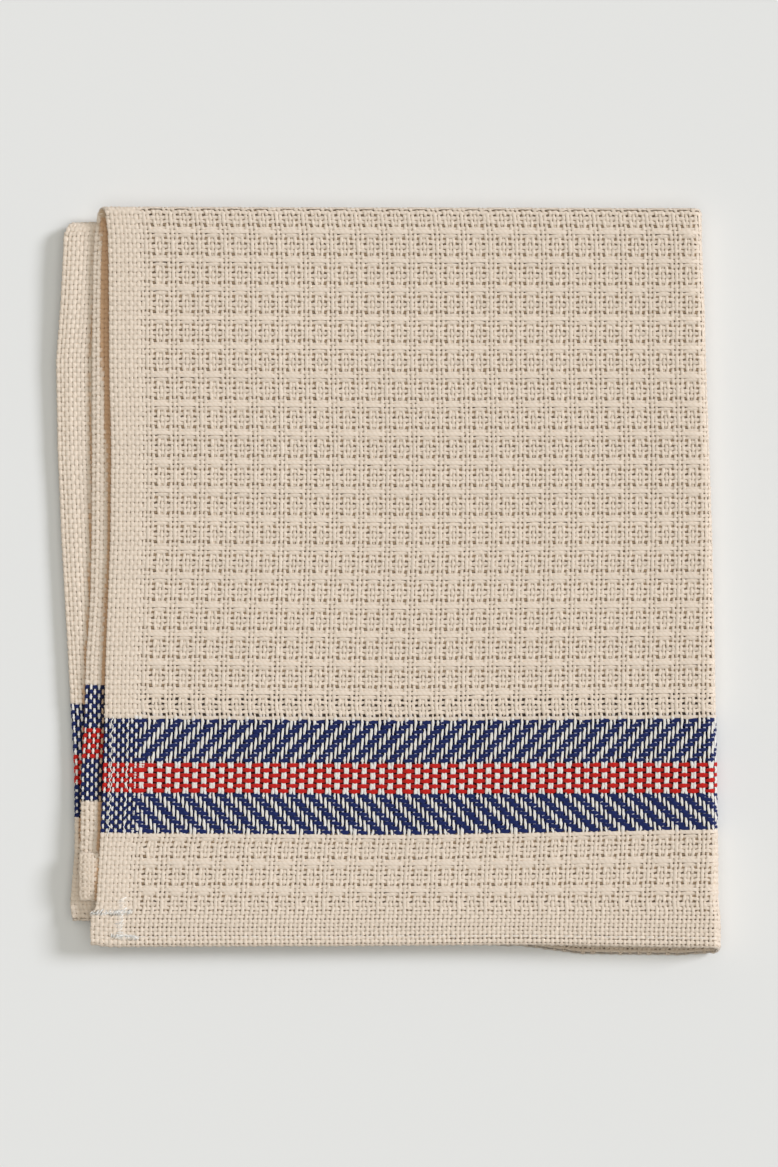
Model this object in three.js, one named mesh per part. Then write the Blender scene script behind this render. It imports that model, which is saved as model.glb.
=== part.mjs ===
// A woven cotton dishcloth, folded hem to hem and then side to side, lying on a flat surface.
// Millimetres, +Z up. The top fold is towards +Y, the side fold towards +X, the open selvedges towards -X
// and the hems towards -Y. The origin is under the middle of the folded cloth.
//
// The cloth is one sheet with four layers. From the top they are: face, second, third and under.
// Face and under are the two sides of the front half, and second and third those of the back half.
// The top fold joins face to second and third to under. The side fold joins face to under, outside,
// and second to third, inside.
import * as THREE from "three";

// The sheet itself.
const clothThickness = 1.2;
const hemThickness = 1.8;
const frontHemDepth = 10.3;
const backHemDepth = 12.2;
const hemStepLength = 1.6;
const hemRoundLength = 0.9;

// The height of the middle of the under layer, whose outer face lies flat on the surface.
const underHeight = clothThickness / 2;

// Going down the cloth, x of each layer's selvedge and of the outermost line of the side fold.
const edgesDown = [
  { y: 98, face: -76.4, second: -78.8, third: -85.2, under: -84.2, sideFold: 84.3 },
  { y: 93, face: -75.8, second: -79.5, third: -87.4, under: -85.0, sideFold: 84.3 },
  { y: 86, face: -75.6, second: -79.9, third: -87.6, under: -85.4, sideFold: 84.5 },
  { y: 74, face: -75.5, second: -80.1, third: -88.2, under: -85.7, sideFold: 85.1 },
  { y: 59, face: -75.5, second: -80.2, third: -89.4, under: -86.0, sideFold: 85.5 },
  { y: 35, face: -75.0, second: -80.3, third: -88.8, under: -85.6, sideFold: 86.4 },
  { y: 11, face: -75.3, second: -80.5, third: -87.8, under: -84.8, sideFold: 87.2 },
  { y: -5, face: -75.9, second: -80.8, third: -86.9, under: -84.0, sideFold: 87.5 },
  { y: -21, face: -76.5, second: -81.9, third: -86.1, under: -83.2, sideFold: 87.9 },
  { y: -38, face: -76.9, second: -82.5, third: -85.3, under: -82.6, sideFold: 88.2 },
  { y: -52, face: -77.2, second: -83.3, third: -84.4, under: -82.0, sideFold: 88.4 },
  { y: -73, face: -78.1, second: -83.4, third: -84.1, under: -80.6, sideFold: 88.7 },
  { y: -86, face: -78.8, second: -84.1, third: -85.0, under: -79.9, sideFold: 88.7 },
  { y: -94, face: -80.6, second: -84.2, third: -85.4, under: -79.6, sideFold: 89.4 },
  { y: -99, face: -80.4, second: -84.2, third: -85.4, under: -79.4, sideFold: 89.3 },
];

// Going down the cloth, the height of the middle of each layer. It swells at the top fold, lies close in the
// middle and swells again where the hems are.
const heightsDown = [
  { y: 100, third: 3.0, second: 4.9, face: 7.3 },
  { y: 84, third: 2.5, second: 4.25, face: 6.2 },
  { y: 60, third: 2.35, second: 4.05, face: 5.9 },
  { y: 20, third: 2.3, second: 4.0, face: 5.8 },
  { y: -38, third: 2.3, second: 4.0, face: 5.8 },
  { y: -58, third: 2.5, second: 4.3, face: 6.25 },
  { y: -72, third: 2.95, second: 4.75, face: 7.15 },
  { y: -85, third: 3.45, second: 5.25, face: 8.15 },
  { y: -91, third: 3.45, second: 5.25, face: 8.1 },
  { y: -99, third: 3.4, second: 5.2, face: 7.4 },
];

// Across the whole width of the cloth, y of the top fold and of both hems. Turn counts the way round:
// 0 is the selvedge of third and under, 1 the side fold, 2 the selvedge of face and second.
const endsAcross = [
  { turn: 0.0, topFold: 96.8, frontHem: -97.4, backHem: -92.2 },
  { turn: 0.35, topFold: 97.9, frontHem: -98.3, backHem: -91.6 },
  { turn: 0.68, topFold: 98.9, frontHem: -98.9, backHem: -90.8 },
  { turn: 0.77, topFold: 99.2, frontHem: -100.4, backHem: -90.4 },
  { turn: 0.9, topFold: 99.8, frontHem: -100.7, backHem: -90.0 },
  { turn: 0.96, topFold: 100.0, frontHem: -100.3, backHem: -89.7 },
  { turn: 1.0, topFold: 100.1, frontHem: -98.8, backHem: -89.4 },
  { turn: 1.3, topFold: 100.3, frontHem: -98.3, backHem: -88.4 },
  { turn: 1.6, topFold: 100.4, frontHem: -98.7, backHem: -87.4 },
  { turn: 2.0, topFold: 100.6, frontHem: -99.0, backHem: -86.6 },
];

// The side fold springs open a little, so the layers above it stand higher beside it.
const sideFoldSwell = 0.8;
const sideFoldSwellReach = 14;

// The rim of the third layer hangs past the under layer and rolls down to the surface.
const rimDrop = 1.1;
const rimDropStart = 0.6;
const rimDropReach = 3.4;

// Soft ridges and troughs in the face: where each is, how far it runs, how wide it is and how high it stands.
const creases = [
  { x: -69, y: -86, turnDegrees: 62, length: 9, width: 2.6, height: -0.3 },
  { x: 58, y: -97, turnDegrees: 0, length: 46, width: 5, height: 0.45 },
  { x: -58, y: 28, turnDegrees: 84, length: 90, width: 11, height: 0.35 },
  { x: 12, y: 62, turnDegrees: 8, length: 110, width: 14, height: -0.3 },
  { x: 40, y: -12, turnDegrees: -10, length: 90, width: 16, height: 0.3 },
  { x: -12, y: -58, turnDegrees: 3, length: 120, width: 10, height: -0.3 },
];

// Where the mesh has its lines: across one layer as shares of its width, along one half as millimetres
// from its hem and from the top fold.
const acrossShares = [0, 0.012, 0.026, 0.045, 0.08, 0.16, 0.28, 0.42, 0.56, 0.7, 0.81, 0.89, 0.95, 1];
const fromHem = [0, hemRoundLength, 5, 9, 11.6, 16, 24, 34, 46, 62, 82, 102];
const fromTopFold = [62, 38, 24, 13, 6, 0];
const foldSteps = 6;

// Straight lines between the rows of a table, by one of its columns.
function readTable(rows, key, column, at) {
  const rising = rows[rows.length - 1][key] > rows[0][key];
  const ordered = rising ? rows : [...rows].reverse();
  const clamped = THREE.MathUtils.clamp(at, ordered[0][key], ordered[ordered.length - 1][key]);
  const upper = Math.max(1, ordered.findIndex((row) => row[key] >= clamped));
  const low = ordered[upper - 1];
  const high = ordered[upper];
  const share = (clamped - low[key]) / (high[key] - low[key]);
  return THREE.MathUtils.lerp(low[column], high[column], share);
}

const edgeAt = (layer, y) => readTable(edgesDown, "y", layer, y);
const endAt = (end, turn) => readTable(endsAcross, "turn", end, turn);
const heightAt = (layer, y) => (layer === "under" ? underHeight : readTable(heightsDown, "y", layer, y));

// How much the creases lift the face at a place.
function creaseHeight(x, y) {
  let total = 0;
  for (const crease of creases) {
    const angle = THREE.MathUtils.degToRad(crease.turnDegrees);
    const along = (x - crease.x) * Math.cos(angle) + (y - crease.y) * Math.sin(angle);
    const across = (y - crease.y) * Math.cos(angle) - (x - crease.x) * Math.sin(angle);
    const ends = Math.exp(-((along / (crease.length / 2)) ** 2));
    total += crease.height * ends * Math.exp(-((across / crease.width) ** 2));
  }
  return total;
}

// The line of the sheet from hem to hem: which half a point is on, how far it is from the hem or the top fold,
// and how far it is round that fold, from 0 on the front half to 1 on the back half.
function lineAlong() {
  const front = fromHem.map((mm) => ({ half: "front", fromHem: mm, round: 0 }));
  const frontTop = fromTopFold.map((mm) => ({ half: "front", fromFold: mm, round: 0 }));
  const fold = [];
  for (let step = 1; step < foldSteps; step += 1) {
    fold.push({ half: "fold", fromFold: 0, round: step / foldSteps });
  }
  const backTop = [...fromTopFold].reverse().map((mm) => ({ half: "back", fromFold: mm, round: 1 }));
  const back = [...fromHem].reverse().map((mm) => ({ half: "back", fromHem: mm, round: 1 }));
  return [...front, ...frontTop, ...fold, ...backTop, ...back];
}

// The line of the sheet from selvedge to selvedge: which side of the side fold a point is on, its share of the
// way from the selvedge to that fold, and how far it is round the fold.
function lineAcross() {
  const lower = acrossShares.map((share) => ({ side: "lower", share }));
  const bend = [];
  for (let step = 1; step < foldSteps; step += 1) {
    bend.push({ side: "bend", share: 1, round: step / foldSteps });
  }
  const upper = [...acrossShares].reverse().map((share) => ({ side: "upper", share }));
  return [...lower, ...bend, ...upper];
}

// How much thicker the inner side is inside a hem. It goes to nothing over a short step at the sewn edge, and
// is rounded where the cloth turns at the hem's own end.
function hemExtra(station) {
  if (station.fromHem === undefined) {
    return 0;
  }
  const depth = station.half === "front" ? frontHemDepth : backHemDepth;
  const stepShare = (depth + hemStepLength / 2 - station.fromHem) / hemStepLength;
  const roundShare = station.fromHem / hemRoundLength;
  return (hemThickness - clothThickness) * THREE.MathUtils.clamp(Math.min(stepShare, roundShare), 0, 1);
}

// Both layers that a line of the sheet lies in: the one below the side fold's turn and the one above it.
const layersOf = { front: ["under", "face"], back: ["third", "second"] };

// Heights of the middle of the sheet on the lower and on the upper side, for a place on the way along.
function pairHeights(station, y) {
  if (station.half !== "fold") {
    const [lower, upper] = layersOf[station.half];
    return [heightAt(lower, y), heightAt(upper, y)];
  }
  const swing = (1 - Math.cos(Math.PI * station.round)) / 2;
  const lower = THREE.MathUtils.lerp(heightAt("under", y), heightAt("third", y), swing);
  const upper = THREE.MathUtils.lerp(heightAt("face", y), heightAt("second", y), swing);
  return [lower, upper];
}

// X of the selvedges on both sides, going evenly from one half's to the other's round the top fold.
function pairEdges(station, y) {
  const lower = THREE.MathUtils.lerp(edgeAt("under", y), edgeAt("third", y), station.round);
  const upper = THREE.MathUtils.lerp(edgeAt("face", y), edgeAt("second", y), station.round);
  return [lower, upper];
}

// The radius of the top fold is half the height between the layers it joins.
const topFoldRadius = (heightAt("third", heightsDown[0].y) - underHeight) / 2;
const topFoldReach = topFoldRadius + clothThickness / 2;

// A place on the sheet, on its outer face or on its inner one.
function foldedPoint(acrossPoint, alongPoint, outer) {
  // How far round the width the place is, and its y.
  const turnOf = { lower: acrossPoint.share, bend: 1, upper: 2 - acrossPoint.share };
  const turn = turnOf[acrossPoint.side];
  const foldY = endAt("topFold", turn) - topFoldReach;
  const hemY = endAt(alongPoint.half === "front" ? "frontHem" : "backHem", turn);
  const isByHem = alongPoint.fromHem !== undefined;
  const middleY = isByHem ? hemY + alongPoint.fromHem : foldY - alongPoint.fromFold;

  // The way the outer face looks: down on the front half, towards +Y at the top fold, up on the back half.
  // The stack is measured as it lies before the side fold turns it over.
  const lookAngle = Math.PI * alongPoint.round;
  const depth = outer ? clothThickness / 2 : -clothThickness / 2 - hemExtra(alongPoint);
  const y = middleY + topFoldRadius * Math.sin(lookAngle) + depth * Math.sin(lookAngle);
  const lift = -depth * Math.cos(lookAngle);

  // The side fold: the two heights it joins, its middle and its radius.
  const [lowHeight, highHeight] = pairHeights(alongPoint, middleY);
  const foldMiddle = (lowHeight + highHeight + sideFoldSwell) / 2;
  const foldRadius = (highHeight + sideFoldSwell - lowHeight) / 2;
  const outermost = (heightAt("face", middleY) + sideFoldSwell - underHeight) / 2 + clothThickness / 2;
  const foldX = edgeAt("sideFold", middleY) - outermost;
  if (acrossPoint.side === "bend") {
    const angle = Math.PI * acrossPoint.round;
    const x = foldX + (foldRadius - lift) * Math.sin(angle);
    return new THREE.Vector3(x, y, foldMiddle - (foldRadius - lift) * Math.cos(angle));
  }

  // The flat layers, from the selvedge to the side fold.
  const [lowEdge, highEdge] = pairEdges(alongPoint, middleY);
  const isUpper = acrossPoint.side === "upper";
  const x = THREE.MathUtils.lerp(isUpper ? highEdge : lowEdge, foldX, acrossPoint.share);
  if (!isUpper) {
    const beyond = (edgeAt("under", middleY) - rimDropStart - x) / rimDropReach;
    const pastUnder = THREE.MathUtils.clamp(beyond, 0, 1);
    const drop = rimDrop * pastUnder * alongPoint.round;
    return new THREE.Vector3(x, y, lowHeight + lift - drop);
  }
  const swell = sideFoldSwell * Math.exp(-(foldX - x) / sideFoldSwellReach);
  const crease = creaseHeight(x, middleY) * (1 - alongPoint.round);
  return new THREE.Vector3(x, y, highHeight - lift + swell + crease);
}

// The folded sheet is a thin box whose every point is carried to its place in the folds.
function foldedSheet() {
  const across = lineAcross();
  const along = lineAlong();
  const geometry = new THREE.BoxGeometry(1, 1, 1, across.length - 1, along.length - 1, 1);
  const position = geometry.attributes.position;
  for (let index = 0; index < position.count; index += 1) {
    const column = Math.round((position.getX(index) + 0.5) * (across.length - 1));
    const row = Math.round((position.getY(index) + 0.5) * (along.length - 1));
    const isOuter = position.getZ(index) < 0;
    const place = foldedPoint(across[column], along[row], isOuter);
    position.setXYZ(index, place.x, place.y, place.z);
  }
  geometry.computeVertexNormals();
  return geometry;
}

const ecruCotton = new THREE.MeshStandardMaterial({ color: 0xe0d2c0, roughness: 0.95, metalness: 0 });

const cloth = new THREE.Mesh(foldedSheet(), ecruCotton);
cloth.name = "cloth";

const dishcloth = new THREE.Group();
dishcloth.add(cloth);

export default dishcloth;
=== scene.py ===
# %% [markdown]
# # A woven dishcloth, folded in four
#
# The object is one rectangle of cotton. Its middle is woven in waffle cells, its selvedges are plain, and a
# navy and red band crosses it near each hem. It is folded hem to hem and then side to side, so four layers
# lie on each other. This lesson rebuilds it thread by thread: a thin ground sheet takes the folded form, and
# every warp end and weft pick that can be seen is a tube of yarn that goes over and under the others.

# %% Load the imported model
import math

import bpy
import numpy as np
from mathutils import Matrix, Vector


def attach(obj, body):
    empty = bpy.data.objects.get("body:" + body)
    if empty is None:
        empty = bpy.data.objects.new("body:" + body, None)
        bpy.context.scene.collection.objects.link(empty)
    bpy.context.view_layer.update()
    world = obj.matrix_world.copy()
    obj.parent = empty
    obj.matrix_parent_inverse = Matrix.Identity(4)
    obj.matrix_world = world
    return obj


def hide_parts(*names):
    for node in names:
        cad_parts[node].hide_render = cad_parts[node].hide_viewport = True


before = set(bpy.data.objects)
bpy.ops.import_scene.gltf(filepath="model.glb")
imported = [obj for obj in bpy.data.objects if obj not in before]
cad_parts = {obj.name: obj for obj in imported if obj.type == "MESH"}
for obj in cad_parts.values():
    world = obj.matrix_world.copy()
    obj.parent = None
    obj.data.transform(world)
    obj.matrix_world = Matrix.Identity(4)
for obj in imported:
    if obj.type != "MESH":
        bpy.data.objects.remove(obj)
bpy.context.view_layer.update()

MM = 0.001

# %% [markdown]
# ## The camera
#
# The cloth is seen from straight above, so the camera looks down and needs no turning. The scale of the
# picture is known from the folded width: it gives the lens, and the point that the picture's middle shows.

# %% Camera
PICTURE_WIDTH, PICTURE_HEIGHT = 778, 1167
MM_PER_PIXEL = 0.269
CLOTH_MIDDLE_PIXEL = (390.0, 580.0)
CAMERA_DISTANCE = 900.0
CLOTH_TOP = 6.4
VIEW_END = 10


def add_object(name, data):
    """An object in the scene, at the origin."""
    holder = bpy.data.objects.new(name, data)
    bpy.context.scene.collection.objects.link(holder)
    return holder


def make_camera():
    camera = bpy.data.cameras.new("camera")
    camera.sensor_fit = "VERTICAL"
    camera.lens = camera.sensor_height * CAMERA_DISTANCE / (PICTURE_HEIGHT * MM_PER_PIXEL)
    camera.clip_end = VIEW_END
    middle_x = (PICTURE_WIDTH / 2 - CLOTH_MIDDLE_PIXEL[0]) * MM_PER_PIXEL
    middle_y = (CLOTH_MIDDLE_PIXEL[1] - PICTURE_HEIGHT / 2) * MM_PER_PIXEL
    holder = add_object("camera", camera)
    holder.location = Vector((middle_x, middle_y, CAMERA_DISTANCE + CLOTH_TOP)) * MM
    bpy.context.scene.camera = holder
    return camera


camera = make_camera()
print("lens in mm:", round(camera.lens, 1))

# %% [markdown]
# ## How the cloth is counted
#
# A weaver counts threads, and so does this file. A place on the flat cloth is a pair of numbers: how many
# warp ends it is from the selvedge of the top layer, and how many weft picks from the hem of the top layer.
# The cloth has plain borders, waffle between them, and a band of navy, red and navy picks near each hem. The
# navy picks are woven in twill, which leans one way above the red ones and the other way below them.

# %% Thread counts
ENDS = 277
BORDER_ENDS = 8
FIRST_LINE_END = 9
CELL = 6
HEM_PICKS = 8
LOWER_NAVY_START = 25
RED_START = 34
UPPER_NAVY_START = 40
WAFFLE_START = 49
BACK_NAVY_START = 256
BACK_RED_START = 265
BACK_LAST_NAVY_START = 271
BACK_WAFFLE_START = 280
BACK_HEM_START = 291
PICKS = 301
TOP_FOLD_START = 154.5
FRONT_TURNED_PICKS = 9
BACK_TURNED_PICKS = 11
PLAIN, WAFFLE, NAVY_UP, NAVY_DOWN, RED = range(5)

print("ends:", ENDS, "picks:", PICKS)

# %% [markdown]
# ## The folded form
#
# The folded form is a rule, not a drawing: it says where each place of the flat cloth lies. It starts from
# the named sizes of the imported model, and adds what a limp cloth does: its rims sag and its side fold is
# pressed. The cloth goes round the top fold from the front half to the back half, and round the side fold
# from the upper layers to the lower ones. The layers are called face, second, third and under, from the
# top. Sizes are in mm, and places on the flat cloth in ends and picks.

# %% Tables of the folded form
CLOTH_THICKNESS = 1.2
UNDER_HEIGHT = 0.6
FOLD_PRESS = 0.65
SIDE_FOLD_SWELL = 0.8
SIDE_FOLD_SWELL_REACH = 14
RIM_DROP = 0.5
RIM_DROP_START = 0.6
RIM_DROP_REACH = 3.4
TOP_FOLD_RADIUS = 1.2
FACE_RIM_SAG = 0.4
SECOND_RIM_SAG = 0.7
RIM_SAG_ENDS = 2.5
HEM_DRAW = 0.5
HEM_DRAW_ENDS = 18.0
HEM_DRAW_PICKS = 2.5


def table(columns, rows):
    """Named columns, ordered by the first one."""
    ordered = sorted(rows)
    return {name: np.array([row[place] for row in ordered], float) for place, name in enumerate(columns)}


EDGES_DOWN = table(("y", "face", "second", "third", "under", "side_fold"), [
    (98, -76.4, -78.8, -85.8, -84.2, 84.3),
    (93, -75.8, -79.5, -87.9, -85.0, 84.3),
    (86, -75.6, -79.9, -88.2, -85.4, 84.5),
    (74, -75.5, -80.1, -88.9, -85.7, 85.1),
    (59, -75.5, -80.2, -90.1, -86.0, 85.5),
    (35, -75.0, -80.3, -89.7, -85.6, 86.4),
    (11, -75.3, -80.5, -88.7, -84.8, 87.2),
    (-5, -75.9, -80.8, -87.8, -84.0, 87.5),
    (-21, -76.5, -81.9, -86.9, -83.2, 87.9),
    (-38, -76.9, -82.5, -86.0, -82.6, 88.2),
    (-52, -77.2, -83.3, -85.2, -82.0, 88.4),
    (-73, -78.1, -83.4, -85.1, -80.6, 88.7),
    (-86, -78.8, -84.1, -86.1, -79.9, 88.7),
    (-88, -79.1, -84.1, -86.2, -79.9, 88.8),
    (-90, -80.3, -84.1, -85.9, -79.8, 89.2),
    (-94, -80.6, -84.2, -85.0, -79.6, 89.4),
    (-99, -80.4, -84.2, -84.6, -79.4, 89.3),
])

HEIGHTS_DOWN = table(("y", "third", "second", "face"), [
    (100, 4.0, 5.7, 7.8),
    (84, 4.3, 5.8, 7.6),
    (60, 3.6, 5.1, 6.8),
    (20, 2.9, 4.4, 6.0),
    (-38, 2.9, 4.4, 6.0),
    (-58, 3.3, 4.8, 6.5),
    (-72, 3.6, 5.2, 7.2),
    (-85, 4.0, 5.4, 8.0),
    (-89, 4.1, 5.3, 7.9),
    (-92, 4.7, 5.3, 7.6),
    (-99, 4.4, 5.1, 7.2),
])

ENDS_ACROSS = table(("turn", "top_fold", "front_hem", "back_hem"), [
    (0.0, 96.8, -97.4, -92.2),
    (0.35, 97.9, -98.3, -91.6),
    (0.66, 98.9, -99.1, -90.8),
    (0.75, 99.2, -101.2, -90.4),
    (0.9, 99.8, -101.6, -90.0),
    (0.96, 100.0, -101.0, -89.7),
    (1.0, 100.1, -99.1, -89.4),
    (1.3, 100.3, -98.3, -88.4),
    (1.6, 100.4, -98.7, -87.4),
    (1.97, 100.6, -98.9, -86.7),
    (2.0, 100.6, -98.3, -86.6),
])

CREASES = [
    {"x": -69, "y": -86, "turn": 62, "length": 9, "width": 2.6, "height": -0.3},
    {"x": 58, "y": -97, "turn": 0, "length": 46, "width": 5, "height": 0.45},
    {"x": -58, "y": 28, "turn": 84, "length": 90, "width": 11, "height": 0.35},
    {"x": 12, "y": 62, "turn": 8, "length": 110, "width": 14, "height": -0.3},
    {"x": 40, "y": -12, "turn": -10, "length": 90, "width": 16, "height": 0.3},
    {"x": -12, "y": -58, "turn": 3, "length": 120, "width": 10, "height": -0.3},
]

# %% [markdown]
# ### Where the stripes lie
#
# Each line where a zone of the weave starts has its own y, measured on the layers that show: the face at its
# two sides and its middle, and the rims of second and third. The pitch of the ends is measured the same way,
# at a few heights of the face.

# %% Tables of the stripes
TURNS = np.array([0.0, 0.85, 1.0, 1.5, 2.0])
ZONE_STARTS = [
    (HEM_PICKS, WAFFLE, (-87.3, -89.6, -88.8, -88.8, -88.7)),
    (LOWER_NAVY_START, NAVY_DOWN, (-67.2, -68.6, -67.0, -68.6, -68.0)),
    (RED_START, RED, (-56.4, -58.6, -57.3, -57.6, -57.2)),
    (UPPER_NAVY_START, NAVY_UP, (-48.4, -50.2, -48.9, -49.3, -49.0)),
    (WAFFLE_START, WAFFLE, (-37.1, -38.2, -37.0, -37.7, -37.1)),
    (BACK_NAVY_START, NAVY_UP, (-33.4, -31.0, -30.5, -29.4, -28.1)),
    (BACK_RED_START, RED, (-47.1, -43.4, -42.5, -41.2, -39.8)),
    (BACK_LAST_NAVY_START, NAVY_DOWN, (-55.4, -51.8, -51.0, -49.6, -48.1)),
    (BACK_WAFFLE_START, WAFFLE, (-64.0, -62.2, -61.5, -60.5, -59.4)),
    (BACK_HEM_START, PLAIN, (-79.4, -77.2, -76.5, -75.2, -74.0)),
]

PITCH_DOWN = table(("y", "border", "middle"), [
    (96.8, 1.076, 1.184),
    (40.6, 1.076, 1.188),
    (-34.0, 1.076, 1.196),
    (-38.0, 1.157, 1.194),
    (-68.0, 1.157, 1.200),
    (-72.0, 1.076, 1.206),
    (-87.0, 1.076, 1.206),
    (-90.0, 1.20, 1.212),
    (-99.0, 1.20, 1.212),
])
HEM_PITCH = 1.28
HEM_TURN_RADIUS = 0.42
HEM_TURN_PICKS = 1.4
HEM_REACH = HEM_TURN_RADIUS + CLOTH_THICKNESS / 2
HEM_PUFF = 0.35
BACK_HEM_PUFF = 0.9
HEM_PUFF_POWER = 0.6
HEM_TUCK_START = 0.86
HEM_TUCK_GAP = 0.1
PICK_PITCH = 1.286
TOP_FOLD_OUTER_RADIUS = 1.5
TOP_FOLD_PICKS = math.pi * TOP_FOLD_OUTER_RADIUS / PICK_PITCH
TOP_FOLD_END = TOP_FOLD_START + TOP_FOLD_PICKS
TOP_FOLD_REACH = TOP_FOLD_RADIUS + CLOTH_THICKNESS / 2

print("picks round the top fold:", round(TOP_FOLD_PICKS, 2))

# %% [markdown]
# ### The rule itself
#
# The rule works on whole arrays of places at once. First it finds the way along: y, how far round the top
# fold a place is, and how far round the turned end of a hem. Then it finds the way across: on the upper
# layer, round the side fold, or on the lower layer. A third number, the depth, says how far the place is
# above or below the middle of the cloth, towards its outer face.


# %% The way along
def read(rows, at):
    """Every column of a table, read at places along its first column."""
    stations = next(iter(rows.values()))
    return {name: np.interp(at, stations, values) for name, values in rows.items()}


def mix(low, high, share):
    return low + (high - low) * share


def share_of(value, start, width):
    """How much of a width lies behind a value, from none to all."""
    return np.clip((value - start) / width, 0, 1)


def soft_step(value, start, width):
    share = share_of(value, start, width)
    return share * share * (3 - 2 * share)


def along(pick, turn):
    """y of the middle of the cloth, and how far it is round the top fold."""
    across = read(ENDS_ACROSS, turn)
    fold_y = across["top_fold"] - TOP_FOLD_REACH
    stops = [(0, across["front_hem"] + HEM_REACH), (PICKS, across["back_hem"] + HEM_REACH)]
    stops += [(TOP_FOLD_START, fold_y), (TOP_FOLD_END, fold_y)]
    stops += [(start, np.interp(turn, TURNS, heights)) for start, _, heights in ZONE_STARTS]
    stops.sort(key=lambda stop: stop[0])
    y = np.array(stops[0][1], float)
    for (start, height), (stop, next_height) in zip(stops[:-1], stops[1:]):
        y = y + share_of(pick, start, stop - start) * (next_height - height)
    return y, share_of(pick, TOP_FOLD_START, TOP_FOLD_PICKS)


def hem_turn(pick):
    """Past a hem's end: the angle turned, the way back in mm, and how far the hem puffs before its edge."""
    past = np.maximum(-pick, 0) + np.maximum(pick - PICKS, 0)
    angle = math.pi * np.clip(past / HEM_TURN_PICKS, 0, 1)
    back = np.maximum(past - HEM_TURN_PICKS, 0)
    turned = np.where(pick < 0, FRONT_TURNED_PICKS, BACK_TURNED_PICKS) - HEM_TURN_PICKS
    share = np.clip(back / turned, 0, 1)
    puff = np.where(pick < 0, HEM_PUFF, BACK_HEM_PUFF) * np.sin(math.pi * share) ** HEM_PUFF_POWER
    tuck = (2 * HEM_TURN_RADIUS - HEM_TUCK_GAP) * share_of(share, HEM_TUCK_START, 1 - HEM_TUCK_START) ** 2
    return angle, back * HEM_PITCH, puff - tuck


# %% The way across
def crease_height(x, y):
    total = np.zeros_like(x)
    for crease in CREASES:
        angle = math.radians(crease["turn"])
        run = (x - crease["x"]) * math.cos(angle) + (y - crease["y"]) * math.sin(angle)
        side = (y - crease["y"]) * math.cos(angle) - (x - crease["x"]) * math.sin(angle)
        ends = np.exp(-((run / (crease["length"] / 2)) ** 2))
        total = total + crease["height"] * ends * np.exp(-((side / crease["width"]) ** 2))
    return total


# The side fold is half an ellipse. FOLD_WAY is the way round it, up to each angle of FOLD_TURN.
FOLD_TURN = np.linspace(0, math.pi, 181)
FOLD_STEPS = np.hypot(np.diff(FOLD_PRESS * np.sin(FOLD_TURN)), np.diff(np.cos(FOLD_TURN)))
FOLD_WAY = np.append(0, np.cumsum(FOLD_STEPS))


def place(end, pick, depth):
    """Where places of the flat cloth lie once it is folded, in mm."""
    end, pick, depth = np.broadcast_arrays(*(np.asarray(values, float) for values in (end, pick, depth)))
    middle_y, round_top = along(pick, np.clip(2 - 2 * end / ENDS, 0, 2))
    edges = read(EDGES_DOWN, middle_y)
    heights = read(HEIGHTS_DOWN, middle_y)
    pitches = read(PITCH_DOWN, middle_y)

    # Round a hem's end the depth turns into a way along, and back.
    hem_angle, hem_back, puff = hem_turn(pick)
    out = HEM_TURN_RADIUS + depth
    hem_y = -out * np.sin(hem_angle) + hem_back
    depth = out * np.cos(hem_angle) - HEM_TURN_RADIUS - puff

    # Round the top fold.
    look = math.pi * round_top
    y = middle_y + hem_y + (TOP_FOLD_RADIUS + depth) * np.sin(look)
    lift = -depth * np.cos(look)
    swing = (1 - np.cos(look)) / 2
    low = mix(UNDER_HEIGHT, heights["third"], swing)
    high = mix(heights["face"], heights["second"], swing)
    low_edge = mix(edges["under"], edges["third"], round_top)
    high_edge = mix(edges["face"], edges["second"], round_top)

    # The side fold stands between the ends that lie flat above it and those that lie flat below it.
    fold_middle = (low + high + SIDE_FOLD_SWELL) / 2
    fold_radius = (high + SIDE_FOLD_SWELL - low) / 2
    outermost = (heights["face"] + SIDE_FOLD_SWELL - UNDER_HEIGHT) / 2
    fold_x = edges["side_fold"] - FOLD_PRESS * outermost - CLOTH_THICKNESS / 2
    border, pitch = pitches["border"], pitches["middle"]
    first_turned = FIRST_LINE_END + (fold_x - high_edge - FIRST_LINE_END * border) / pitch
    turned = FOLD_WAY[-1] * fold_radius / pitch
    last_border = ENDS - FIRST_LINE_END
    low_pitch = (fold_x - low_edge - FIRST_LINE_END * border) / (last_border - first_turned - turned)

    high_x = high_edge + border * np.minimum(end, FIRST_LINE_END)
    high_x = high_x + pitch * np.maximum(end - FIRST_LINE_END, 0)
    near_back_hem = soft_step(pick, BACK_HEM_START - 1.0, HEM_DRAW_PICKS)
    high_x = high_x + HEM_DRAW * near_back_hem * np.exp(-end / HEM_DRAW_ENDS)
    sag = mix(FACE_RIM_SAG, SECOND_RIM_SAG, round_top) * np.clip(1 - end / RIM_SAG_ENDS, 0, 1) ** 2
    low_x = low_edge + border * np.minimum(ENDS - end, FIRST_LINE_END)
    low_x = low_x + low_pitch * np.maximum(last_border - end, 0)
    angle = math.pi - np.interp((end - first_turned) / turned * FOLD_WAY[-1], FOLD_WAY, FOLD_TURN)
    bend_x = fold_x + (FOLD_PRESS * fold_radius - lift) * np.sin(angle)
    bend_z = fold_middle - (fold_radius - lift) * np.cos(angle)

    swell = SIDE_FOLD_SWELL * np.exp(-np.maximum(fold_x - high_x, 0) / SIDE_FOLD_SWELL_REACH)
    crease = crease_height(high_x, middle_y) * (1 - round_top)
    beyond = (edges["under"] - RIM_DROP_START - low_x) / RIM_DROP_REACH
    drop = RIM_DROP * np.clip(beyond, 0, 1) * round_top

    is_upper = end < first_turned
    is_lower = end > first_turned + turned
    high_z = high - sag - lift + swell + crease
    low_z = low + lift - drop
    x = np.where(is_upper, high_x, np.where(is_lower, low_x, bend_x))
    z = np.where(is_upper, high_z, np.where(is_lower, low_z, bend_z))
    return np.stack([x, y, z], axis=-1)


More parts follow.
